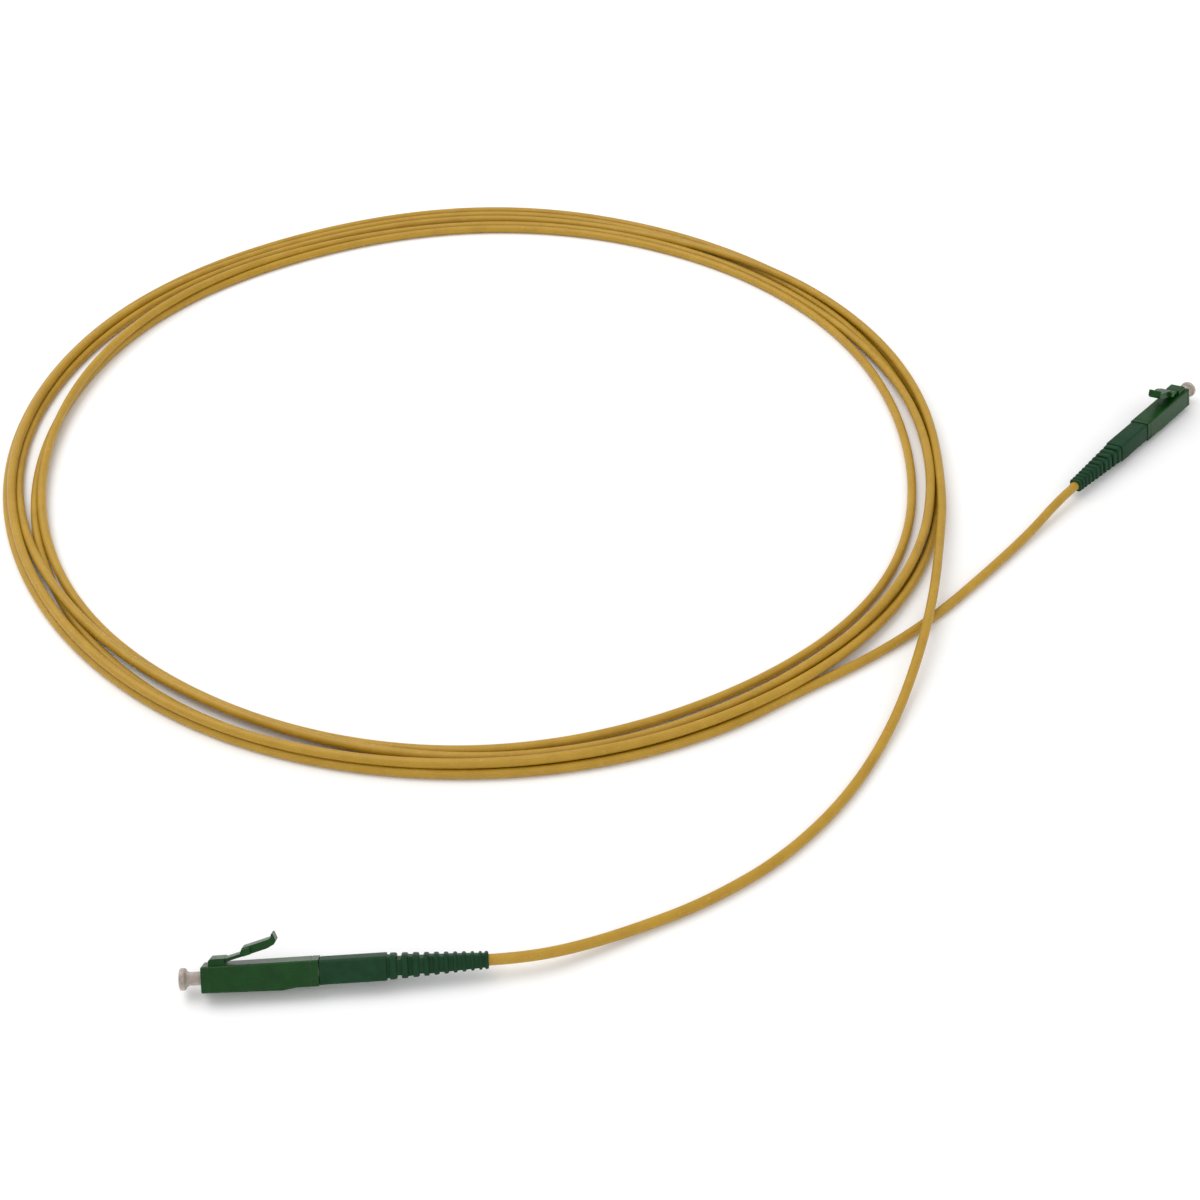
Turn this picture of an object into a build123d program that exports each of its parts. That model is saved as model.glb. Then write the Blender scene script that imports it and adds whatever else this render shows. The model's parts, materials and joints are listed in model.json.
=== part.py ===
from build123d import *
import math
import os

# Fibre optic patch cord: one round 2 mm cable, wound in a loose coil, with a small angle-polished
# plug on each end. The cord lies on a flat surface at z = 0, +Z up, in millimetres. The origin is on
# that surface, in the middle of the box round the two plugs.

# ---- cable ----
CABLE_RADIUS = 1.0
BUFFER_RADIUS = 0.45

# ---- coil ----
COIL_CENTRE = (-65.4, 70.1)
COIL_HEIGHT = 4.2
COIL_EDGE_RADIUS = 1.6
# Radii of the wound bundle at twelve places round it, anticlockwise from +X.
COIL_OUTER_RADII = (108.5, 108.2, 108.3, 110.1, 109.3, 111.5, 110.2, 108.0, 108.2, 108.5, 110.0, 110.1)
COIL_INNER_RADII = (99.8, 99.3, 98.3, 97.9, 97.4, 100.1, 99.4, 99.6, 99.3, 100.4, 100.3, 102.6)

# ---- where the plugs lie ----
NOSE_A = (-104.25, -86.8)
YAW_A = 184.5
ROLL_A = 41.0
NOSE_B = (104.3, 85.8)
YAW_B = 47.5
ROLL_B = -14.0

# ---- plug, in its own frame: +X out of the nose, +Z towards the latch, x = 0 at the nose's face ----
HOUSING_LENGTH = 19.8
HOUSING_SIDE = 4.5
HOUSING_EDGE = 0.35
SMALL_EDGE = 0.12
NOSE_EDGE = 0.3
NOSE_LINE = -1.15
COLLAR_LINE = -18.45
LINE_WIDTH = 0.16
LINE_DEPTH = 0.08
OVERLAP = 0.4
CUTTER = 9.0
SNAP_RECESS_LENGTH = 1.1
SNAP_RECESS_HEIGHT = 1.1
SNAP_RECESS_DEPTH = 0.15
SNAP_RECESS_FLOOR = 0.1
KEEL_DEPTH = 0.3
KEEL_WIDTH = 4.0
KEEL_START = -1.5
KEEL_DEEPEST = -13.6
KEEL_END = -16.0
CHAMBER_RADIUS = 1.3
CHAMBER_DEPTH = 3.2
SHOULDER = 0.6
REAR_CHAMBER_RADIUS = 1.6
FERRULE_CLEARANCE = 0.1
POCKET_FRONT = -13.9
POCKET_LENGTH = 1.6
POCKET_WIDTH = 1.5
POCKET_HEIGHT = 3.9

# ---- latch ----
LATCH_ROOT_BACK = -4.1
LATCH_ROOT_HEIGHT = 1.15
LATCH_ROOT_WIDTH = 3.4
LATCH_ROOT_BEVEL = 0.3
LATCH_ANGLE = 15.0
LATCH_PIVOT = (-4.43, 0.0, 3.05)
LATCH_ARM_THICKNESS = 0.56
LATCH_ARM_WIDTH = 2.6
LATCH_ARM_LENGTH = 2.45
LATCH_TAB_LENGTH = 5.8
LATCH_TAB_THICKNESS = 1.4
LATCH_TAB_WIDTH = 3.0
LATCH_LUG_LENGTH = 1.5
LATCH_LUG_WIDTH = 4.4
LATCH_TIP_RISE = 0.75
# The thumb tab: the slope at its front, where its tip turns up and ends, and the rounded heel below.
TAB_FRONT_SLOPE = 0.55
TAB_TIP_START = 0.55
TAB_TIP_BACK = 0.6
TAB_HEEL = 1.2
LUG_START = 0.4
LUG_BELOW_TOP = 0.15

# ---- ferrule, its flange and spring ----
FERRULE_RADIUS = 0.6245
FERRULE_TIP = 1.8
FERRULE_LENGTH = 6.5
POLISH_ANGLE = 8.0
TIP_CHAMFER = 0.2
POLISH_CUT = 0.08
GAP = 0.02
FLANGE_FRONT = -(CHAMBER_DEPTH + SHOULDER) - GAP
FLANGE_LENGTH = 1.6
FLANGE_ACROSS_FLATS = 2.5
STEM_RADIUS = 0.75
STEM_LENGTH = 2.6
SPRING_WIRE_RADIUS = 0.13
SPRING_RADIUS = 1.12
SPRING_TURNS = 6
SPRING_SEAT = -11.6

# ---- crimp post, yarn and ring ----
POST_RADIUS = 1.55
COLLAR_FRONT = -(HOUSING_LENGTH + GAP)
COLLAR_LENGTH = 1.3
COLLAR_RADIUS = 1.9
BARREL_RADIUS = 1.1
BARREL_END = -25.6
BARREL_GROOVES = 5
BARREL_GROOVE_STEP = 0.7
BARREL_GROOVE_WIDTH = 0.25
BARREL_GROOVE_DEPTH = 0.1
SNAP_CLEARANCE = 0.1
POST_BORE = 0.62
LINER_RADIUS = 0.6
LINER_BORE = 0.5
JACKET_START = -26.2
FIBRE_SLACK = 1.1
STEM_OVERLAP = 1.4
YARN_RADIUS = 1.3
RING_RADIUS = 1.6
RING_FRONT = -21.3
RING_END = -27.5
RING_LAND = 1.5
RING_SQUEEZE = 0.08

# ---- boot ----
BOOT_FRONT = -19.86
BOOT_SHELL_END = -31.3
BOOT_END = -48.65
BOOT_SIDE = 4.25
BOOT_END_SIDE = 2.85
BOOT_CORNER = 0.5
BOOT_RIB_CORNER = 1.0
BOOT_END_CORNER = 0.8
SEAM_WIDTH = 0.5
SEAM_DEPTH = 0.3
SLOT_WIDTH = 0.8
SLOT_FLOOR = 1.32
SLOTS_ACROSS_TOP = (-33.4, -37.2, -40.6, -43.7, -46.6)
SLOTS_ACROSS_SIDE = (-35.3, -38.9, -42.2, -45.2)

# ---- dust cap ----
CAP_BORE = 0.66
CAP_RADIUS = 1.15
CAP_INNER_END = -2.6
CAP_FLANGE_BACK = 2.75
CAP_FLANGE_FRONT = 3.8
CAP_FLANGE_RADIUS = 1.9
CAP_NECK_START = 2.0
CAP_RIM = 0.3
CAP_RIM_LENGTH = 0.15
CAP_EDGE = 0.2
CAP_TIP_ROOM = 0.5

# ---- routes of the two free ends, after the short run straight out of the boot: (x, y, z) ----
ROUTE_A = (
    (-39.9, -79.3, 2.2),
    (-29.4, -74.4, 1.2),
    (-17.4, -68.5, 1.0),
    (-3.1, -58.5, 1.0),
    (10.3, -43.5, 1.0),
    (20.9, -25.2, 1.2),
    (28.5, -6.4, 3.6),
    (34.0, 12.1, 3.8),
    (37.9, 30.6, 3.5),
    (40.7, 45.6, 3.3),
)
ROUTE_B = (
    (58.7, 35.1, 1.2),
    (46.9, 21.7, 1.0),
    (33.1, 6.7, 1.0),
    (18.3, -5.5, 1.0),
    (2.6, -15.4, 1.0),
)
EXIT_RUN = 6.5


def bar(x0, x1, width, height, z=0.0):
    """A box from x0 to x1, centred on y = 0, with its middle at height z."""
    return Pos((x0 + x1) / 2, 0, z) * Box(abs(x1 - x0), width, height)


def rod(x0, x1, radius):
    """A round rod along X from x0 to x1."""
    return Pos((x0 + x1) / 2, 0, 0) * Rot(0, 90, 0) * Cylinder(radius, abs(x1 - x0))


def tube(x0, x1, radius, bore):
    """A round tube along X from x0 to x1."""
    return rod(x0, x1, radius) - rod(x0 - 1, x1 + 1, bore)


def rounded_square(x, side, corner):
    """A square with rounded corners across the plug's axis at x."""
    return Plane((x, 0, 0), x_dir=(0, 1, 0), z_dir=(1, 0, 0)) * RectangleRounded(side, side, corner)


def prism(points, width):
    """A profile given as (x, z) points, extruded equally to both sides of y = 0."""
    profile = Plane.XZ * make_face(Polyline(*points, close=True))
    return extrude(profile, amount=width / 2, both=True)


def line_round(x, side, depth, width):
    """What a shallow line cut all round a square body, back from x, takes away."""
    inner = side - 2 * depth
    return bar(x - width, x, CUTTER, CUTTER) - bar(x - width, x, inner, inner)


def front_housing():
    """Square shell with a nose, a shallow keel, the latch's root and a stepped bore."""
    half = HOUSING_SIDE / 2
    body = extrude(rounded_square(-HOUSING_LENGTH, HOUSING_SIDE, HOUSING_EDGE), amount=HOUSING_LENGTH)
    body = fillet(body.faces().sort_by(Axis.X)[-1].edges(), NOSE_EDGE)
    keel = prism([(KEEL_START, OVERLAP - half), (KEEL_START, -half), (KEEL_DEEPEST, -half - KEEL_DEPTH),
                  (KEEL_END, -half), (KEEL_END, OVERLAP - half)], KEEL_WIDTH)
    body += fillet(keel.edges().group_by(Axis.Z)[0], SMALL_EDGE)
    root_top = half + LATCH_ROOT_HEIGHT
    root_front = NOSE_LINE - LINE_WIDTH
    root = prism([(root_front, half - OVERLAP), (root_front, root_top - LATCH_ROOT_BEVEL),
                  (root_front - LATCH_ROOT_BEVEL, root_top), (LATCH_ROOT_BACK, root_top),
                  (LATCH_ROOT_BACK, half - OVERLAP)], LATCH_ROOT_WIDTH)
    body += fillet(root.edges().filter_by_position(Axis.Z, half, root_top + 1), SMALL_EDGE)
    body -= line_round(NOSE_LINE, HOUSING_SIDE, LINE_DEPTH, LINE_WIDTH)
    body -= line_round(COLLAR_LINE, HOUSING_SIDE, LINE_DEPTH, LINE_WIDTH)
    recess_front = COLLAR_LINE - LINE_WIDTH
    recess = bar(recess_front - SNAP_RECESS_LENGTH, recess_front, CUTTER, SNAP_RECESS_HEIGHT,
                 SNAP_RECESS_HEIGHT / 2 + SNAP_RECESS_FLOOR - half)
    body -= recess - bar(-HOUSING_LENGTH, 0, HOUSING_SIDE - 2 * SNAP_RECESS_DEPTH, CUTTER)
    body -= rod(-CHAMBER_DEPTH, 1, CHAMBER_RADIUS)
    body -= rod(-CHAMBER_DEPTH - SHOULDER, 0, FERRULE_RADIUS + FERRULE_CLEARANCE)
    body -= rod(-HOUSING_LENGTH - 1, -CHAMBER_DEPTH - SHOULDER, REAR_CHAMBER_RADIUS)
    body -= bar(POCKET_FRONT - POCKET_LENGTH, POCKET_FRONT, POCKET_WIDTH, POCKET_HEIGHT)
    return body


def latch():
    """Springy arm with two side lugs and a thick thumb tab whose end turns up."""
    half = LATCH_ARM_THICKNESS / 2
    top = LATCH_TAB_THICKNESS - half
    front = -LATCH_ARM_LENGTH
    end = front - LATCH_TAB_LENGTH
    tab = prism([(front - 0.3, -half), (front, half + 0.1), (front - TAB_FRONT_SLOPE, top),
                 (end + TAB_TIP_START, top), (end + 0.1, top + 0.2), (end - 0.15, top + LATCH_TIP_RISE),
                 (end - 0.45, top + LATCH_TIP_RISE - 0.05), (end - TAB_TIP_BACK, half + 0.2),
                 (end - 0.1, 0.0), (end + TAB_HEEL, -half)], LATCH_TAB_WIDTH)
    tab = fillet(tab.edges(), SMALL_EDGE)
    lug_start = front - LUG_START
    lug_height = LATCH_TAB_THICKNESS - 0.2
    lugs = bar(lug_start - LATCH_LUG_LENGTH, lug_start, LATCH_LUG_WIDTH, lug_height,
               top - LUG_BELOW_TOP - lug_height / 2)
    lugs = fillet(lugs.edges(), SMALL_EDGE)
    arm = bar(front - 0.6, 0, LATCH_ARM_WIDTH, LATCH_ARM_THICKNESS)
    arm += Rot(90, 0, 0) * Cylinder(half, LATCH_ARM_WIDTH)
    return Pos(*LATCH_PIVOT) * Rot(0, LATCH_ANGLE, 0) * (arm + tab + lugs)


def ferrule():
    """Ceramic ferrule, its tip chamfered and polished at an angle."""
    pin = rod(FERRULE_TIP - FERRULE_LENGTH, FERRULE_TIP, FERRULE_RADIUS)
    pin = chamfer(pin.edges().sort_by(Axis.X)[-1], TIP_CHAMFER)
    polish = Pos(FERRULE_TIP + 1 - POLISH_CUT, 0, 0) * Rot(0, POLISH_ANGLE, 0) * Box(2, 4, 4)
    return pin - polish


def ferrule_flange():
    """Hexagonal metal flange pressed on the ferrule, with the stem that the spring sits round."""
    back = FLANGE_FRONT - FLANGE_LENGTH
    hexagon = Plane((back, 0, 0), x_dir=(0, 1, 0), z_dir=(1, 0, 0)) * RegularPolygon(
        FLANGE_ACROSS_FLATS / 2, 6, major_radius=False)
    body = extrude(hexagon, amount=FLANGE_LENGTH)
    body += rod(back - STEM_LENGTH, back, STEM_RADIUS)
    body -= rod(FERRULE_TIP - FERRULE_LENGTH, 0, FERRULE_RADIUS)
    body -= rod(back - STEM_LENGTH - 1, 0, BUFFER_RADIUS)
    return body


def ferrule_spring():
    """Compression spring between the flange and the crimp post."""
    front = FLANGE_FRONT - FLANGE_LENGTH - SPRING_WIRE_RADIUS - GAP
    length = front - SPRING_SEAT - SPRING_WIRE_RADIUS - GAP
    helix = Helix(pitch=length / SPRING_TURNS, height=length, radius=SPRING_RADIUS)
    wire = sweep(Plane(helix @ 0, z_dir=helix % 0) * Circle(SPRING_WIRE_RADIUS), path=helix)
    return Pos(front, 0, 0) * Rot(0, -90, 0) * wire


def buffered_fibre():
    """Fibre in its tight buffer, from the flange's stem back through the crimp post."""
    return rod(JACKET_START + FIBRE_SLACK, FLANGE_FRONT - STEM_OVERLAP, BUFFER_RADIUS - GAP / 2)


def crimp_post():
    """Metal body that closes the housing: spring seat, snap lugs, collar and ribbed barrel."""
    post = rod(COLLAR_FRONT - COLLAR_LENGTH / 2, SPRING_SEAT, POST_RADIUS)
    post += bar(POCKET_FRONT - POCKET_LENGTH + SNAP_CLEARANCE, POCKET_FRONT - SNAP_CLEARANCE,
                POCKET_WIDTH - SNAP_CLEARANCE, POCKET_HEIGHT - 2 * SNAP_CLEARANCE)
    post += rod(COLLAR_FRONT - COLLAR_LENGTH, COLLAR_FRONT, COLLAR_RADIUS)
    post += rod(BARREL_END, COLLAR_FRONT, BARREL_RADIUS)
    for index in range(BARREL_GROOVES):
        groove = RING_FRONT - 0.8 - index * BARREL_GROOVE_STEP
        floor = BARREL_RADIUS - BARREL_GROOVE_DEPTH
        post -= tube(groove - BARREL_GROOVE_WIDTH, groove, BARREL_RADIUS + 1, floor)
    return post - rod(BARREL_END - 1, 0, POST_BORE)


def liner_tube():
    """Thin plastic tube that guides the fibre through the post."""
    return tube(BARREL_END, SPRING_SEAT - 0.2, LINER_RADIUS, LINER_BORE)


def aramid_yarn():
    """Strength yarn folded back over the barrel and the end of the jacket."""
    sleeve = rod(RING_END, RING_FRONT, YARN_RADIUS)
    sleeve -= rod(BARREL_END, RING_FRONT + 1, BARREL_RADIUS)
    sleeve -= rod(RING_END - 1, BARREL_END, CABLE_RADIUS)
    return sleeve


def crimp_ring():
    """Metal ring crimped over the yarn, with a hexagonal waist."""
    waist_start, waist_end = RING_END + RING_LAND, RING_FRONT - RING_LAND
    hexagon = Plane((waist_start, 0, 0), x_dir=(0, 1, 0), z_dir=(1, 0, 0)) * RegularPolygon(
        RING_RADIUS - RING_SQUEEZE, 6, major_radius=False)
    waist = extrude(hexagon, amount=waist_end - waist_start)
    ring = tube(RING_END, RING_FRONT, RING_RADIUS, YARN_RADIUS)
    return ring - (tube(waist_start, waist_end, RING_RADIUS + 1, BARREL_RADIUS) - waist)


def jacket_end():
    """The last of the cable's jacket, inside the boot."""
    return rod(BOOT_END, JACKET_START, CABLE_RADIUS)


def boot():
    """Square shell behind the housing, then a slotted taper that lets the cable bend gently."""
    shell = extrude(rounded_square(BOOT_SHELL_END, BOOT_SIDE, BOOT_CORNER),
                    amount=BOOT_FRONT - BOOT_SHELL_END)
    taper = loft([rounded_square(BOOT_SHELL_END, BOOT_SIDE, BOOT_RIB_CORNER),
                  rounded_square(BOOT_END, BOOT_END_SIDE, BOOT_END_CORNER)])
    body = shell + taper - line_round(BOOT_SHELL_END, BOOT_SIDE, SEAM_DEPTH, SEAM_WIDTH)
    across_top, across_side = (CUTTER, 2 * SLOT_FLOOR), (2 * SLOT_FLOOR, CUTTER)
    for places, core in ((SLOTS_ACROSS_TOP, across_top), (SLOTS_ACROSS_SIDE, across_side)):
        for x in places:
            front, back = x + SLOT_WIDTH / 2, x - SLOT_WIDTH / 2
            body -= bar(back, front, CUTTER, CUTTER) - bar(back - 1, front + 1, *core)
    body -= rod(COLLAR_FRONT - COLLAR_LENGTH - GAP, 0, COLLAR_RADIUS + GAP)
    body -= rod(RING_END - 5 * GAP, 0, RING_RADIUS + GAP)
    body -= rod(BOOT_END - 1, 0, CABLE_RADIUS + GAP)
    return body


def dust_cap():
    """Soft cap pushed over the ferrule, with a flange to pull it off by."""
    bore_end = FERRULE_TIP + CAP_TIP_ROOM
    profile = Plane.XZ * make_face(Polyline(
        (CAP_INNER_END, CAP_BORE), (CAP_INNER_END, CAP_RADIUS), (CAP_NECK_START, CAP_RADIUS),
        (CAP_FLANGE_BACK, CAP_FLANGE_RADIUS - CAP_RIM), (CAP_FLANGE_BACK + CAP_RIM_LENGTH, CAP_FLANGE_RADIUS),
        (CAP_FLANGE_FRONT - CAP_EDGE, CAP_FLANGE_RADIUS), (CAP_FLANGE_FRONT, CAP_FLANGE_RADIUS - CAP_EDGE),
        (CAP_FLANGE_FRONT, 0), (bore_end, 0), (bore_end, CAP_BORE), close=True))
    return revolve(profile, Axis.X)


PLUG_PIECES = {
    "plug_housing": front_housing,
    "latch": latch,
    "ferrule": ferrule,
    "ferrule_flange": ferrule_flange,
    "ferrule_spring": ferrule_spring,
    "buffered_fibre": buffered_fibre,
    "crimp_post": crimp_post,
    "liner_tube": liner_tube,
    "aramid_yarn": aramid_yarn,
    "crimp_ring": crimp_ring,
    "jacket_end": jacket_end,
    "boot": boot,
    "dust_cap": dust_cap,
}


def axis_height(roll):
    """How high a rolled plug's axis lies when the plug rests on its keel's corner."""
    turn = math.radians(abs(roll))
    return (HOUSING_SIDE / 2 + KEEL_DEPTH) * math.cos(turn) + KEEL_WIDTH / 2 * math.sin(turn)


def plug_place(nose, yaw, roll):
    """Where a plug lies: its nose, the way it points and how far it is rolled about its axis."""
    return Pos(nose[0], nose[1], axis_height(roll)) * Rot(0, 0, yaw) * Rot(roll, 0, 0)


def boot_exit(nose, yaw, roll):
    """The cable's first two points: the middle of the boot's end, and a short run straight out."""
    heading = Vector(math.cos(math.radians(yaw)), math.sin(math.radians(yaw)), 0)
    start = Vector(nose[0], nose[1], axis_height(roll)) + heading * BOOT_END
    return [start, start - heading * EXIT_RUN]


def corner_radii(points):
    """The largest arc that fits each corner: 0.45 of its shorter run over the tangent of half the turn."""
    radii = []
    for before, corner, after in zip(points, points[1:], points[2:]):
        turn = math.radians((corner - before).get_angle(after - corner))
        run = min((corner - before).length, (after - corner).length)
        radii.append(0.45 * run / math.tan(turn / 2))
    return radii


def cable_tail(name, exit_points, route):
    """A free end of the cable: straight runs joined by tangent arcs."""
    points = exit_points + [Vector(*point) for point in route]
    radii = corner_radii(points)
    path = FilletPolyline(*points, radius=radii)
    solid = sweep(Plane(path @ 0, z_dir=path % 0) * Circle(CABLE_RADIUS), path=path)
    section = math.pi * CABLE_RADIUS ** 2
    print(name, "length", round(path.length, 1), "radii", [round(r, 1) for r in radii],
          "volume ratio", round(solid.volume / (section * path.length), 4))
    return solid


def ring_outline(radii):
    """A closed smooth outline through one radius for each equal step round the coil's centre."""
    step = 2 * math.pi / len(radii)
    points = [(COIL_CENTRE[0] + r * math.cos(i * step), COIL_CENTRE[1] + r * math.sin(i * step))
              for i, r in enumerate(radii)]
    return make_face(Spline(*points, periodic=True))


def cable_coil():
    """The wound bundle as one closed ring with rounded edges."""
    band = ring_outline(COIL_OUTER_RADII) - ring_outline(COIL_INNER_RADII)
    ring = extrude(band, amount=COIL_HEIGHT)
    return fillet(ring.edges().filter_by(GeomType.BSPLINE), COIL_EDGE_RADIUS)


def main():
    os.makedirs("parts", exist_ok=True)
    ends = {"a": (NOSE_A, YAW_A, ROLL_A, ROUTE_A), "b": (NOSE_B, YAW_B, ROLL_B, ROUTE_B)}
    for piece, build in PLUG_PIECES.items():
        shape = build()
        for end, (nose, yaw, roll, _) in ends.items():
            export_step(plug_place(nose, yaw, roll) * shape, f"parts/{piece}_{end}.step")
    for end, (nose, yaw, roll, route) in ends.items():
        name = f"cable_tail_{end}"
        export_step(cable_tail(name, boot_exit(nose, yaw, roll), route), f"parts/{name}.step")
    export_step(cable_coil(), "parts/cable_coil.step")


main()
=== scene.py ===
import json
import math

import bpy
from mathutils import Matrix, Vector

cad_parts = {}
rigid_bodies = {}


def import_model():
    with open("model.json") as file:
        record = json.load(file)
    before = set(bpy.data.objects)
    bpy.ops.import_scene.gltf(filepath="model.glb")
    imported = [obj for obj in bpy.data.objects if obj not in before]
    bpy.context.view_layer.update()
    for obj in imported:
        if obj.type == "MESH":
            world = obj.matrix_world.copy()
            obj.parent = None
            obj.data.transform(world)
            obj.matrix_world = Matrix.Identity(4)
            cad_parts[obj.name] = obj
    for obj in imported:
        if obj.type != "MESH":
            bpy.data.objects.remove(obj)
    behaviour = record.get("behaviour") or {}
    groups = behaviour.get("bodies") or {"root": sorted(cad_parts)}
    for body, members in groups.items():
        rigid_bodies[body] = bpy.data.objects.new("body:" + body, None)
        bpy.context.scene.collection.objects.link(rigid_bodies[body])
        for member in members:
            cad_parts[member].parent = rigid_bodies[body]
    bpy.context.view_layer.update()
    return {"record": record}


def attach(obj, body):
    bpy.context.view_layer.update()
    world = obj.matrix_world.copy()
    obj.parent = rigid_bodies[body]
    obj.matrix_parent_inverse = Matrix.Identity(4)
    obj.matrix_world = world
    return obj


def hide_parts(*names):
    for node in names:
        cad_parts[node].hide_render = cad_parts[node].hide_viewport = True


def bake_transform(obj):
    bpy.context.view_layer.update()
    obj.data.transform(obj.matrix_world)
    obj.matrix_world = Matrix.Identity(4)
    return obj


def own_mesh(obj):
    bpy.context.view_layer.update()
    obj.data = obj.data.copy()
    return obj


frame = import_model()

MM = 0.001
ENDS = ("a", "b")


def named(items, name):
    """The entry of a list in the record that has this name."""
    return next(item for item in items if item["name"] == name)


def plug_place(end):
    """From a plug's own frame, in mm with +X out of the nose and +Z towards the latch, to the scene."""
    record = frame["record"]
    nose = named(record["mounts"], f"plug_nose_{end}")
    hinge = named(record["behaviour"]["joints"], f"latch_{end}_press")
    forward, side = Vector(nose["axis"]), Vector(hinge["axis"])
    place = Matrix((forward, side, forward.cross(side))).transposed().to_4x4()
    place.translation = nose["pos_m"]
    return place @ Matrix.Scale(MM, 4)


PLUG_PLACES = {end: plug_place(end) for end in ENDS}

# ---- the cord ----
CABLE_DIAMETER = 0.002
CURVE_STEPS = 8
CABLE_ROUND_STEPS = 6
CURVE_ORDER = 3
# Along a plug's axis, in mm.
EXIT_RUN = 6.5
BOOT_END = -48.65
# The free ends' routes repeat the CAD model's, in metres.
ROUTE_A = (
    (-0.0399, -0.0793, 0.0022),
    (-0.0294, -0.0744, 0.0012),
    (-0.0174, -0.0685, 0.0010),
    (-0.0031, -0.0585, 0.0010),
    (0.0103, -0.0435, 0.0010),
    (0.0209, -0.0252, 0.0012),
    (0.0285, -0.0064, 0.0036),
    (0.0340, 0.0121, 0.0038),
    (0.0379, 0.0306, 0.0035),
    (0.0407, 0.0456, 0.0033),
)
ROUTE_B = (
    (0.0587, 0.0351, 0.0012),
    (0.0469, 0.0217, 0.0010),
    (0.0331, 0.0067, 0.0010),
    (0.0183, -0.0055, 0.0010),
    (0.0026, -0.0154, 0.0010),
)

# ---- the coil: loose turns, from the top one to the bottom one ----
# For each turn, its distance in mm from the centre at twelve places, anticlockwise from 330 degrees,
# and how high it lies there: 0 on the surface, 1 on a turn that does. The top turn starts one place
# late, where the free end joins it.
COIL_CENTRE = (-0.0654, 0.0701)
PLACES = 12
TURNS = (
    ((107.2, 106.2, 103.2, 104.4, 104.0, 106.8, 106.8, 103.4, 101.7, 103.6, 105.1),
     (1, 1, 0, 0, 0, 0, 0, 1, 1, 0, 0)),
    ((107.2, 104.9, 102.3, 101.4, 101.0, 100.4, 101.2, 100.4, 100.6, 100.3, 101.4, 101.3),
     (1, 1, 0, 0, 0, 0, 1, 1, 0, 0, 0, 0)),
    ((103.6, 100.8, 100.3, 99.5, 98.9, 98.4, 101.1, 101.6, 102.9, 105.3, 105.5, 107.0),
     (0, 0, 0, 0, 0, 0, 0, 0, 0, 0, 0, 0)),
    ((107.0, 105.4, 104.7, 105.2, 106.7, 106.2, 108.5, 107.8, 106.0, 106.9, 106.5, 107.8),
     (0, 0, 0, 0, 0, 0, 1, 1, 1, 1, 1, 1)),
    ((109.1, 107.5, 107.2, 107.2, 109.1, 108.3, 110.5, 109.2, 107.0, 107.1, 107.5, 108.9),
     (0, 0, 0, 0, 0, 0, 0, 0, 0, 0, 0, 0)),
)
STEPS_PER_PLACE = 3
STEPS = PLACES * STEPS_PER_PLACE
SETTLE_ROUNDS = 60
# A turn lies on the surface where its layer is below this.
SURFACE_LAYER = 0.1
# How far below the middle of its neighbours a point of a turn can sink, in mm.
SAG = 0.15


def between(values):
    """Values at every step, on smooth cubics through the values at the places."""
    last = len(values) - 1
    steps = []
    for index in range(last):
        p0, p1, p2, p3 = (values[min(max(index + k, 0), last)] for k in (-1, 0, 1, 2))
        for part in range(STEPS_PER_PLACE):
            t = part / STEPS_PER_PLACE
            steps.append(p1 + t / 2 * (p2 - p0 + t * (2 * p0 - 5 * p1 + 4 * p2 - p3
                                                      + t * (3 * (p1 - p2) + p3 - p0))))
    return steps + [values[last]]


def beside(index, count):
    """The other turns' points at the same step."""
    return [other for other in range(index % STEPS, count, STEPS) if other != index]


def spread(radii, layers, diameter):
    """Turns that lie on the surface side by side part until they no longer overlap."""
    for _ in range(SETTLE_ROUNDS):
        for index in range(len(radii)):
            for other in beside(index, len(radii)):
                gap = radii[other] - radii[index]
                both_low = max(layers[index], layers[other]) < SURFACE_LAYER
                if both_low and 0 < gap < diameter:
                    radii[index] -= (diameter - gap) / 2
                    radii[other] += (diameter - gap) / 2


def settle(radii, layers, diameter):
    """Each turn rests on the surface or on the turns below it, and rises in long low humps."""
    count = len(radii)
    floor = diameter / 2
    heights = [floor] * count
    for _ in range(SETTLE_ROUNDS):
        for index in sorted(range(count), key=lambda i: (layers[i], -i)):
            rest = floor
            for other in beside(index, count):
                gap = abs(radii[other] - radii[index])
                if gap < diameter and (layers[other], -other) < (layers[index], -index):
                    rest = max(rest, heights[other] + math.sqrt(diameter ** 2 - gap ** 2))
            middle = (heights[max(index - 1, 0)] + heights[min(index + 1, count - 1)]) / 2
            heights[index] = max(rest, middle - SAG)
    return heights


def coil_points():
    """Control points of the wound part, anticlockwise from where the upper free end joins it."""
    diameter = 1000 * CABLE_DIAMETER
    radii = between([radius for turn in TURNS for radius in turn[0]])
    layers = between([layer for turn in TURNS for layer in turn[1]])
    spread(radii, layers, diameter)
    heights = settle(radii, layers, diameter)
    step = 2 * math.pi / STEPS
    reach = MM / math.cos(step / 2)
    return [(COIL_CENTRE[0] + radius * reach * math.cos(index * step),
             COIL_CENTRE[1] + radius * reach * math.sin(index * step), height * MM)
            for index, (radius, height) in enumerate(zip(radii, heights))]


def free_end(end, route):
    """Control points of a free end: out of the boot, a short run straight on, then its route."""
    start, straight = (PLUG_PLACES[end] @ Vector((x, 0, 0)) for x in (BOOT_END, BOOT_END - EXIT_RUN))
    return [start, straight] + [Vector(point) for point in route]


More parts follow.
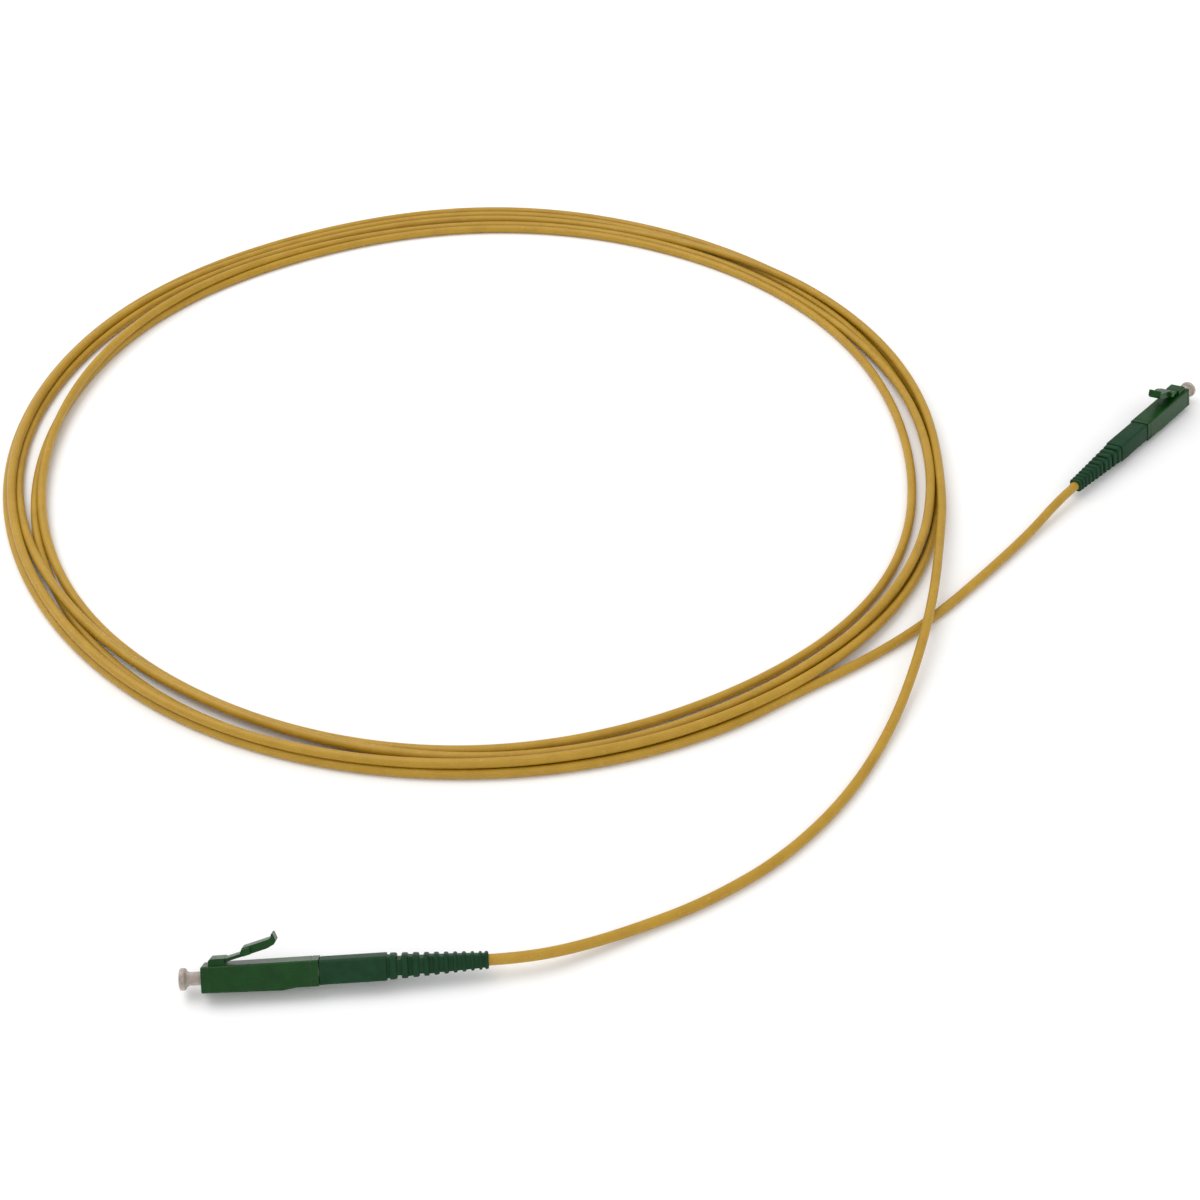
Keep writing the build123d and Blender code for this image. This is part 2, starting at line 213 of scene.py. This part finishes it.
def cord_curve():
    """The whole cable on one smooth spline, from one boot to the other."""
    points = free_end("a", ROUTE_A) + coil_points() + free_end("b", ROUTE_B)[::-1]
    data = bpy.data.curves.new("cable", "CURVE")
    data.dimensions = "3D"
    data.resolution_u = CURVE_STEPS
    data.bevel_depth = CABLE_DIAMETER / 2
    data.bevel_resolution = CABLE_ROUND_STEPS
    spline = data.splines.new("NURBS")
    spline.points.add(len(points) - 1)
    for point, place in zip(spline.points, points):
        point.co = (*place, 1.0)
    spline.order_u = CURVE_ORDER
    spline.use_endpoint_u = True
    cable = bpy.data.objects.new("cable", data)
    bpy.context.scene.collection.objects.link(cable)
    return cable


# ---- meshes made of rings, in a plug's own frame in mm ----
CORNER_STEPS = 6
EDGE_STEPS = (0.0, 0.08, 0.25, 0.55, 1.0)
SHARP_ANGLE = math.radians(38)


def rounded_square(x, side, corner):
    """A ring of points round a square with rounded corners, across the plug's axis at x."""
    reach = side / 2 - corner
    ring = []
    for quarter in range(4):
        middle = math.radians(45 + 90 * quarter)
        for step in range(CORNER_STEPS + 1):
            angle = math.radians(90 * (quarter + step / CORNER_STEPS))
            ring.append(Vector((x, math.copysign(reach, math.cos(middle)) + corner * math.cos(angle),
                                math.copysign(reach, math.sin(middle)) + corner * math.sin(angle))))
    return ring


def circle(x, radius, like):
    """A round ring across the axis at x, with its points in the directions of another ring's."""
    return [Vector((x, *(radius * Vector((point.y, point.z)).normalized()))) for point in like]


def ring_piece(name, place, rings, closed):
    """A mesh through rings of points. Its first and last ring are joined, or each closed by a fan."""
    count = len(rings[0])
    vertices = [place @ point for ring in rings for point in ring]
    pairs = list(zip(range(len(rings)), range(1, len(rings))))
    if closed:
        pairs.append((len(rings) - 1, 0))
    faces = [(a * count + i, a * count + (i + 1) % count, b * count + (i + 1) % count, b * count + i)
             for a, b in pairs for i in range(count)]
    if not closed:
        for ring_index, backwards in ((0, True), (len(rings) - 1, False)):
            ring = rings[ring_index]
            vertices.append(place @ (sum(ring, Vector()) / count))
            for i in range(count):
                edge = (ring_index * count + i, ring_index * count + (i + 1) % count)
                faces.append((*(edge[::-1] if backwards else edge), len(vertices) - 1))
    mesh = bpy.data.meshes.new(name)
    mesh.from_pydata(vertices, [], faces)
    mesh.validate()
    mesh.shade_smooth()
    mesh.set_sharp_from_angle(angle=SHARP_ANGLE)
    piece = bpy.data.objects.new(name, mesh)
    bpy.context.scene.collection.objects.link(piece)
    return piece


def rounded_edge(edge, inward, radius):
    """Places and depths along X of a rounded edge: full depth at the edge, none a radius inward."""
    return [(edge + inward * radius * step, radius - radius * math.sqrt(1 - (1 - step) ** 2))
            for step in EDGE_STEPS]


# ---- boot ----
BOOT_FRONT = -19.86
SHELL_END = -31.3
SEAM_END = -31.75
BOOT_SIDE = 4.25
BOOT_END_SIDE = 2.85
SHELL_CORNER = 0.55
RIB_CORNER = 1.0
END_CORNER = 0.8
SMALLEST_CORNER = 0.1
RIB_ROUNDING = 0.3
RIB_ROUNDING_SHARE = 0.45
SHELL_ROUNDING = 0.18
SLOT_HALF = 0.38
SLOT_FLOOR = 1.35
SLOTS_ACROSS_TOP = (-33.4, -37.2, -40.6, -43.7, -46.6)
SLOTS_ACROSS_SIDE = (-35.3, -38.9, -42.2, -45.2)
LAST_GROOVE = -47.75
LAST_GROOVE_HALF = 0.22
# Places and radii along the boot's stepped bore.
BOOT_BORE = ((BOOT_FRONT, 1.92), (-21.2, 1.92), (-21.3, 1.62), (-27.6, 1.62), (-27.7, 1.03),
             (BOOT_END, 1.03))
WALL = 0.03


def boot_ring(x, depth, cut=None):
    """The boot's outline at x, sunk by a depth, and cut flat to a slot's floor on two of its sides."""
    along = max(0.0, (SHELL_END - x) / (SHELL_END - BOOT_END))
    side = BOOT_SIDE + (BOOT_END_SIDE - BOOT_SIDE) * along
    corner = RIB_CORNER + (END_CORNER - RIB_CORNER) * along if along else SHELL_CORNER
    ring = rounded_square(x, side - 2 * depth, max(corner - depth, SMALLEST_CORNER))
    for point in ring:
        if cut == "top":
            point.z = max(-SLOT_FLOOR, min(SLOT_FLOOR, point.z))
        if cut == "side":
            point.y = max(-SLOT_FLOOR, min(SLOT_FLOOR, point.y))
    return ring


def rib(front, back):
    """The rings of one rib, with both its edges rounded over."""
    rounding = min(RIB_ROUNDING, (front - back) * RIB_ROUNDING_SHARE)
    stations = rounded_edge(front, -1, rounding) + rounded_edge(back, 1, rounding)[::-1]
    return [boot_ring(x, depth) for x, depth in stations]


def boot(end):
    """A smooth square shell, then a taper of rounded ribs with slots across turn by turn."""
    shell = rounded_edge(BOOT_FRONT, -1, SHELL_ROUNDING) + rounded_edge(SHELL_END, 1, SHELL_ROUNDING)[::-1]
    rings = [boot_ring(x, depth) for x, depth in shell]
    rings += [boot_ring(SHELL_END - WALL, RIB_ROUNDING), boot_ring(SEAM_END + WALL, RIB_ROUNDING)]
    grooves = [(x, SLOT_HALF, "top") for x in SLOTS_ACROSS_TOP]
    grooves += [(x, SLOT_HALF, "side") for x in SLOTS_ACROSS_SIDE]
    grooves.append((LAST_GROOVE, LAST_GROOVE_HALF, None))
    front = SEAM_END
    for x, half, cut in sorted(grooves, key=lambda groove: -groove[0]):
        rings += rib(front, x + half)
        rings += [boot_ring(place, RIB_ROUNDING, cut) for place in (x + half - WALL, x - half + WALL)]
        front = x - half
    rings += rib(front, BOOT_END)
    rings += [circle(x, radius, rings[0]) for x, radius in reversed(BOOT_BORE)]
    return ring_piece(f"ribbed_boot_{end}", PLUG_PLACES[end], rings, closed=True)


# ---- dust cap ----
CAP_STEPS = 56
CAP_FRONT = 3.8
CAP_BACK = -2.6
FLANGE_BACK = 2.72
FLANGE_RADIUS = 1.9
FLANGE_ROUNDING = 0.35
NECK_RADIUS = 1.15
FLARE = 0.72
FLARE_STEPS = 6
BACK_ROUNDING = 0.12
CAP_BORE = 0.66
CAP_BORE_END = 2.3
DIMPLE_RADIUS = 0.55
DIMPLE_DEPTH = 0.12
DIMPLE_SLOPE = 0.1
DIMPLE_LIP_DEPTH = 0.02
DIMPLE_LIP_WIDTH = 0.08
BORE_CHAMFER = 0.05
# The radius of the first and the last ring, which fans close.
NEAR_AXIS = 0.05


def cap_profile():
    """Places and radii along the cap, from the middle of its face, over the outside, into the bore."""
    face = [(CAP_FRONT - DIMPLE_DEPTH, NEAR_AXIS), (CAP_FRONT - DIMPLE_DEPTH, DIMPLE_RADIUS - DIMPLE_SLOPE),
            (CAP_FRONT - DIMPLE_LIP_DEPTH, DIMPLE_RADIUS), (CAP_FRONT, DIMPLE_RADIUS + DIMPLE_LIP_WIDTH)]
    front_edge = [(x, FLANGE_RADIUS - depth) for x, depth in rounded_edge(CAP_FRONT, -1, FLANGE_ROUNDING)]
    back_edge = [(x, FLANGE_RADIUS - depth) for x, depth in rounded_edge(FLANGE_BACK, 1, FLANGE_ROUNDING)]
    flare = [(FLANGE_BACK - FLARE + FLARE * math.sin(angle), NECK_RADIUS + FLARE * (1 - math.cos(angle)))
             for angle in (math.radians(90 - 90 * step / FLARE_STEPS) for step in range(1, FLARE_STEPS + 1))]
    inner_edge = [(x, NECK_RADIUS - depth) for x, depth in rounded_edge(CAP_BACK, 1, BACK_ROUNDING)[::-1]]
    bore = [(CAP_BACK, CAP_BORE + BORE_CHAMFER), (CAP_BACK + BORE_CHAMFER, CAP_BORE),
            (CAP_BORE_END, CAP_BORE), (CAP_BORE_END, NEAR_AXIS)]
    return face + front_edge + back_edge[::-1] + flare + inner_edge + bore


def dust_cap(end):
    """A soft cap turned round the ferrule's axis, hollow where the ferrule goes in."""
    turn = [2 * math.pi * step / CAP_STEPS for step in range(CAP_STEPS)]
    rings = [[Vector((x, radius * math.cos(angle), radius * math.sin(angle))) for angle in turn]
             for x, radius in cap_profile()]
    return ring_piece(f"soft_dust_cap_{end}", PLUG_PLACES[end], rings, closed=False)


# ---- living hinge between the housing's root block and the latch's arm ----
PIVOT = (-4.43, 3.05)
LATCH_ANGLE = math.radians(15)
ROOT_FACE = -4.1
ARM_HALF = 0.285
HINGE_HALF_WIDTH = 1.31
HINGE_CORNER = 0.1
# Places past the root's face, and how far the web there reaches above and below the arm's middle.
WEB_AT_ROOT = ((0.3, 0.31, 0.62), (0.0, 0.31, 0.62), (-0.05, 0.30, 0.44), (-0.14, 0.29, 0.33))
WEB_ALONG_ARM = (0.0, 0.2, 0.5, 0.9)


def hinge_section(x, z, lean, above, below):
    """A ring across the arm at (x, z), leaning with it, with its corners cut."""
    width, inset = HINGE_HALF_WIDTH, HINGE_HALF_WIDTH - HINGE_CORNER
    upper, lower = above - HINGE_CORNER, HINGE_CORNER - below
    outline = ((width, upper), (inset, above), (-inset, above), (-width, upper),
               (-width, lower), (-inset, -below), (inset, -below), (width, lower))
    return [Vector((x + up * math.sin(lean), y, z + up * math.cos(lean))) for y, up in outline]


def living_hinge(end):
    """The thin web on which the latch bends: it grows out of the root block and runs into the arm."""
    rings = [hinge_section(ROOT_FACE + ahead, PIVOT[1], 0.0, above, below)
             for ahead, above, below in WEB_AT_ROOT]
    for reach in WEB_ALONG_ARM:
        x, z = PIVOT[0] - reach * math.cos(LATCH_ANGLE), PIVOT[1] + reach * math.sin(LATCH_ANGLE)
        half = ARM_HALF if reach < WEB_ALONG_ARM[-1] else ARM_HALF - HINGE_CORNER
        rings.append(hinge_section(x, z, LATCH_ANGLE, half, half))
    piece = ring_piece(f"latch_hinge_{end}", PLUG_PLACES[end], rings, closed=False)
    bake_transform(piece)
    return piece


# ---- ferrule's spring ----
SPRING_FRONT = -5.44
SPRING_SEAT = -11.58
SPRING_RADIUS = 1.12
WIRE_RADIUS = 0.13
ACTIVE_TURNS = 5
CLOSED_TURNS = 1.25
RINGS_PER_TURN = 20
WIRE_SIDES = 10


def spring(end):
    """A compression spring with closed end coils."""
    closed_length = CLOSED_TURNS * 2 * WIRE_RADIUS
    open_length = SPRING_FRONT - SPRING_SEAT - 2 * (WIRE_RADIUS + closed_length)
    turns = ACTIVE_TURNS + 2 * CLOSED_TURNS

    def along(turn):
        """How far back the wire is after this many turns."""
        if turn < CLOSED_TURNS:
            return turn * 2 * WIRE_RADIUS
        if turn > turns - CLOSED_TURNS:
            return closed_length + open_length + (turn - turns + CLOSED_TURNS) * 2 * WIRE_RADIUS
        return closed_length + (turn - CLOSED_TURNS) / ACTIVE_TURNS * open_length

    rings = []
    for step in range(int(turns * RINGS_PER_TURN) + 1):
        turn = step / RINGS_PER_TURN
        angle = 2 * math.pi * turn
        outward = Vector((0, math.cos(angle), math.sin(angle)))
        middle = Vector((SPRING_FRONT - WIRE_RADIUS - along(turn), 0, 0)) + SPRING_RADIUS * outward
        rings.append([middle + WIRE_RADIUS * (math.cos(side) * outward + math.sin(side) * Vector((1, 0, 0)))
                      for side in (2 * math.pi * i / WIRE_SIDES for i in range(WIRE_SIDES))])
    piece = ring_piece(f"coil_spring_{end}", PLUG_PLACES[end], rings, closed=False)
    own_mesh(piece)
    return piece


# ---- materials ----
EDGE_WIDTH_MM = 0.13
EDGE_SAMPLES = 6
# How well the rounded normal agrees with the true one: an edge below the first, a face above the second.
EDGE_AGREEMENT = (0.86, 0.985)
# How many times smaller than its colour patches a moulded part's specks, scuffs and waves are.
SPECK_RATIO = 7
SCUFF_RATIO = 5
WAVE_RATIO = 3
WAVE_TO_GRAIN_HEIGHT = 4


class Surface:
    """A material's nodes, with short ways to add the ones used here."""

    def __init__(self, name, roughness, **uniform):
        self.material = bpy.data.materials.new(name)
        self.material.use_nodes = True
        self.nodes = self.material.node_tree.nodes
        self.links = self.material.node_tree.links
        self.shader = self.nodes["Principled BSDF"]
        self.shader.inputs["Roughness"].default_value = roughness
        for socket, value in uniform.items():
            self.shader.inputs[socket.replace("_", " ")].default_value = value
        self.place = self.nodes.new("ShaderNodeTexCoord").outputs["Object"]

    def stretched(self, x, y, z):
        """Object coordinates stretched by a factor along each axis."""
        mapping = self.nodes.new("ShaderNodeMapping")
        mapping.inputs["Scale"].default_value = (x, y, z)
        self.links.new(self.place, mapping.inputs["Vector"])
        return mapping.outputs["Vector"]

    def noise(self, size_mm, detail=3.0, roughness=0.5, place=None):
        """Cloudy noise, its features about a size in mm across."""
        noise = self.nodes.new("ShaderNodeTexNoise")
        noise.inputs["Scale"].default_value = 1 / (size_mm * MM)
        noise.inputs["Detail"].default_value = detail
        noise.inputs["Roughness"].default_value = roughness
        self.links.new(place or self.place, noise.inputs["Vector"])
        return noise.outputs["Fac"]

    def spread(self, value, low, high, start=0.3, stop=0.7):
        """A texture's middle range spread from a low to a high number."""
        spread = self.nodes.new("ShaderNodeMapRange")
        for socket, number in (("From Min", start), ("From Max", stop), ("To Min", low), ("To Max", high)):
            spread.inputs[socket].default_value = number
        self.links.new(value, spread.inputs["Value"])
        return spread.outputs["Result"]

    def mixed(self, value, dark, light, start=0.3, stop=0.7):
        """Two colours, or a colour and another mix, mixed by a texture."""
        mix = self.nodes.new("ShaderNodeMix")
        mix.data_type = "RGBA"
        self.links.new(self.spread(value, 0.0, 1.0, start, stop), mix.inputs["Factor"])
        for socket, colour in (("A_Color", dark), ("B_Color", light)):
            entry = next(i for i in mix.inputs if i.identifier == socket)
            if isinstance(colour, tuple):
                entry.default_value = (*colour, 1.0)
            else:
                self.links.new(colour, entry)
        return next(o for o in mix.outputs if o.identifier == "Result_Color")

    def edges(self, radius_mm):
        """1 on the edges of a form and 0 on its faces."""
        bevel = self.nodes.new("ShaderNodeBevel")
        bevel.samples = EDGE_SAMPLES
        bevel.inputs["Radius"].default_value = radius_mm * MM
        product = self.nodes.new("ShaderNodeVectorMath")
        product.operation = "DOT_PRODUCT"
        geometry = self.nodes.new("ShaderNodeNewGeometry")
        self.links.new(bevel.outputs["Normal"], product.inputs[0])
        self.links.new(geometry.outputs["Normal"], product.inputs[1])
        return self.spread(product.outputs["Value"], 1.0, 0.0, *EDGE_AGREEMENT)

    def patchy_highlight(self, edges, breakup):
        """An edge mask broken up by a texture, so that a painted highlight lies on some edges and not on
        others.
        """
        product = self.nodes.new("ShaderNodeMath")
        product.operation = "MULTIPLY"
        self.links.new(edges, product.inputs[0])
        self.links.new(breakup, product.inputs[1])
        return product.outputs["Value"]

    def colour(self, source):
        """Drives the base colour."""
        self.links.new(source, self.shader.inputs["Base Color"])

    def rough(self, source):
        """Drives the roughness."""
        self.links.new(source, self.shader.inputs["Roughness"])

    def bumps(self, *layers):
        """Relief: each layer is a texture and its height in mm."""
        normal = None
        for height, depth_mm in layers:
            bump = self.nodes.new("ShaderNodeBump")
            bump.inputs["Strength"].default_value = 1.0
            bump.inputs["Distance"].default_value = depth_mm * MM
            self.links.new(height, bump.inputs["Height"])
            if normal:
                self.links.new(normal, bump.inputs["Normal"])
            normal = bump.outputs["Normal"]
        self.links.new(normal, self.shader.inputs["Normal"])


def moulded(name, dark, light, scuffed, rough, patch_mm, grain_mm, grain_height_mm, painted_edge_highlight=None, **uniform):
    """Moulded or extruded plastic: cloudy colour, scuffs, uneven gloss, a fine grain and edges lightened by
    a painted highlight.
    """
    surface = Surface(name, sum(rough) / 2, **uniform)
    patches = surface.noise(patch_mm, detail=4.0)
    specks = surface.noise(patch_mm / SPECK_RATIO, detail=2.0)
    scuffs = surface.noise(patch_mm / SCUFF_RATIO, detail=8.0, roughness=0.7)
    middle = tuple((a + b) / 2 for a, b in zip(dark, light))
    colour = surface.mixed(specks, middle, surface.mixed(patches, dark, light), start=0.2, stop=0.5)
    colour = surface.mixed(scuffs, colour, scuffed, start=0.56, stop=0.82)
    # Painted highlight: the edges are lightened in patches towards the last colour.
    if painted_edge_highlight:
        edges = surface.patchy_highlight(surface.edges(EDGE_WIDTH_MM), surface.spread(specks, 0.35, 1.0))
        colour = surface.mixed(edges, colour, painted_edge_highlight, start=0.0, stop=1.0)
    surface.colour(colour)
    surface.rough(surface.spread(scuffs, rough[0], rough[1]))
    surface.bumps((surface.noise(patch_mm / WAVE_RATIO), WAVE_TO_GRAIN_HEIGHT * grain_height_mm),
                  (surface.noise(grain_mm), grain_height_mm))
    return surface.material


def turned_metal(name, dark, light, rough):
    """Plated metal with the fine streaks that turning and drawing leave."""
    surface = Surface(name, sum(rough) / 2, Metallic=1.0)
    streaks = surface.noise(0.6, detail=5.0, place=surface.stretched(1.0, 9.0, 9.0))
    haze = surface.noise(1.1)
    surface.colour(surface.mixed(haze, dark, light))
    surface.rough(surface.spread(streaks, rough[0], rough[1]))
    surface.bumps((streaks, 0.004))
    return surface.material


def ceramic():
    """Polished white ceramic with faint lapping marks."""
    surface = Surface("ferrule ceramic", 0.14, Coat_Weight=0.4, Coat_Roughness=0.05, Subsurface_Weight=0.15,
                      Subsurface_Scale=0.0004)
    marks = surface.noise(0.08, detail=5.0, place=surface.stretched(1.0, 6.0, 6.0))
    surface.colour(surface.mixed(surface.noise(0.5), (0.80, 0.79, 0.74), (0.88, 0.87, 0.84)))
    surface.rough(surface.spread(marks, 0.08, 0.22))
    surface.bumps((marks, 0.0006))
    return surface.material


def yarn():
    """Bundled aramid filaments: fine bands that wander, with a painted highlight on top and painted shade
    between.
    """
    surface = Surface("aramid yarn", 0.55, Sheen_Weight=0.5, Sheen_Roughness=0.4)
    strands = surface.noise(0.22, detail=6.0, roughness=0.65, place=surface.stretched(0.35, 4.0, 4.0))
    # The colour runs from painted shade between the bands to a painted highlight on them.
    surface.colour(surface.mixed(strands, (0.30, 0.19, 0.03), (0.78, 0.60, 0.18)))
    surface.rough(surface.spread(strands, 0.62, 0.42))
    surface.bumps((strands, 0.05))
    return surface.material


def translucent_cap():
    """Milky soft plastic: cloudy, lets light through, with a satin skin and rims lightened by a painted
    highlight.
    """
    surface = Surface("milky plastic", 0.38, Transmission_Weight=0.12, IOR=1.45, Subsurface_Weight=0.5,
                      Subsurface_Scale=0.0005)
    clouds = surface.noise(0.9, detail=4.0)
    milky = surface.mixed(clouds, (0.33, 0.28, 0.24), (0.45, 0.39, 0.34))
    # Painted highlight: the rims are made paler in patches.
    rim_highlight = surface.patchy_highlight(surface.edges(EDGE_WIDTH_MM), surface.spread(clouds, 0.4, 1.0))
    surface.colour(surface.mixed(rim_highlight, milky, (0.60, 0.55, 0.50), start=0.0, stop=1.0))
    surface.rough(surface.spread(surface.noise(0.25), 0.30, 0.48))
    surface.bumps((surface.noise(0.7), 0.012), (surface.noise(0.05), 0.002))
    return surface.material


MATERIALS = {
    "jacket": moulded("yellow jacket", (0.390, 0.222, 0.011), (0.455, 0.268, 0.019), (0.57, 0.37, 0.07),
                      rough=(0.32, 0.52), patch_mm=5.0, grain_mm=0.14, grain_height_mm=0.004,
                      Specular_IOR_Level=0.4, Subsurface_Weight=0.3, Subsurface_Scale=0.0008),
    # The last colour of the housing and of the boot is a painted highlight along their edges.
    "housing": moulded("green housing", (0.001, 0.034, 0.0015), (0.003, 0.050, 0.004), (0.010, 0.066, 0.012),
                       rough=(0.24, 0.44), patch_mm=2.4, grain_mm=0.07, grain_height_mm=0.0024,
                       painted_edge_highlight=(0.040, 0.085, 0.034), Specular_IOR_Level=0.22),
    "boot": moulded("bluish green boot", (0.002, 0.030, 0.008), (0.005, 0.045, 0.015), (0.012, 0.058, 0.026),
                    rough=(0.44, 0.66), patch_mm=2.0, grain_mm=0.06, grain_height_mm=0.004,
                    painted_edge_highlight=(0.020, 0.065, 0.028), Specular_IOR_Level=0.19),
    "dust_cap": translucent_cap(),
    "ferrule": ceramic(),
    "metal": turned_metal("nickel plate", (0.46, 0.44, 0.40), (0.62, 0.61, 0.58), (0.20, 0.38)),
    "spring": turned_metal("spring wire", (0.50, 0.50, 0.50), (0.68, 0.68, 0.68), (0.16, 0.32)),
    "ring": turned_metal("crimp ring", (0.56, 0.47, 0.30), (0.72, 0.63, 0.44), (0.24, 0.42)),
    "liner": moulded("white liner", (0.70, 0.70, 0.67), (0.80, 0.80, 0.78), (0.86, 0.86, 0.84),
                     rough=(0.30, 0.45), patch_mm=1.5, grain_mm=0.1, grain_height_mm=0.002),
    "yarn": yarn(),
    "buffer": moulded("white buffer", (0.72, 0.71, 0.68), (0.82, 0.82, 0.80), (0.87, 0.87, 0.85),
                      rough=(0.35, 0.5), patch_mm=2.0, grain_mm=0.12, grain_height_mm=0.002),
}


def finish_piece(piece, slot, body, *nodes):
    """Gives a piece its material, hides the CAD parts it stands in for, and attaches it to the body it rides
    on, if it has one.
    """
    piece.data.materials.append(MATERIALS[slot])
    if nodes:
        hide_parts(*nodes)
    if body:
        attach(piece, body)


for subpart in frame["record"]["subparts"]:
    cad_object = bpy.data.objects[subpart["node"]]
    cad_object.data.materials.clear()
    cad_object.data.materials.append(MATERIALS[subpart["material_slot"]])

for end in ENDS:
    finish_piece(boot(end), "boot", "cord", f"boot_{end}")
    finish_piece(dust_cap(end), "dust_cap", f"dust_cap_{end}", f"dust_cap_{end}")
    finish_piece(living_hinge(end), "housing", None)
    finish_piece(spring(end), "spring", "cord", f"ferrule_spring_{end}")

cable = cord_curve()
finish_piece(cable, "jacket", "cord", "cable_tail_a", "cable_coil", "cable_tail_b")


# ---- floor, light and camera ----
FLOOR_SIZE = 60.0
FLOOR_PATCH_MM = 60.0
WORLD_STRENGTH = 0.80
# Each light's place, size and power.
KEY_LIGHT = ((-0.45, 0.25, 0.9), 0.8, 4.6)
FRONT_FILL = ((0.3, -0.9, 0.7), 1.0, 1.6)
CAMERA_PLACE = (-0.03665, -0.2723, 0.25254)
CAMERA_AIM = (-0.03665, 0.01405, 0.0)
CAMERA_LENS = 53.64
NEAREST_SEEN = 0.01


def aimed(thing, place, target):
    """Puts a light or the camera at a place, turned to a target, in the scene."""
    thing.location = place
    thing.rotation_euler = (Vector(target) - Vector(place)).to_track_quat("-Z", "Y").to_euler()
    bpy.context.scene.collection.objects.link(thing)
    return thing


def area_light(name, place, size, power):
    """A large square soft light, aimed at the middle of the object."""
    data = bpy.data.lights.new(name, "AREA")
    data.size = size
    data.energy = power
    return aimed(bpy.data.objects.new(name, data), place, (0.0, 0.0, 0.0))


def floor():
    """A wide pale floor with the faintest unevenness."""
    half = FLOOR_SIZE / 2
    mesh = bpy.data.meshes.new("floor")
    corners = [(-half, -half, 0), (half, -half, 0), (half, half, 0), (-half, half, 0)]
    mesh.from_pydata(corners, [], [(0, 1, 2, 3)])
    plane = bpy.data.objects.new("floor", mesh)
    bpy.context.scene.collection.objects.link(plane)
    surface = Surface("pale floor", 0.7)
    surface.colour(surface.mixed(surface.noise(FLOOR_PATCH_MM), (0.93, 0.93, 0.93), (0.95, 0.95, 0.95)))
    mesh.materials.append(surface.material)


floor()
world = bpy.data.worlds.new("studio")
world.use_nodes = True
world.node_tree.nodes["Background"].inputs["Color"].default_value = (1.0, 1.0, 1.0, 1.0)
world.node_tree.nodes["Background"].inputs["Strength"].default_value = WORLD_STRENGTH
bpy.context.scene.world = world
area_light("key", *KEY_LIGHT)
area_light("front fill", *FRONT_FILL)
bpy.context.scene.view_settings.view_transform = "Standard"

camera_data = bpy.data.cameras.new("camera")
camera_data.lens = CAMERA_LENS
camera_data.clip_start = NEAREST_SEEN
bpy.context.scene.camera = aimed(bpy.data.objects.new("camera", camera_data), CAMERA_PLACE, CAMERA_AIM)
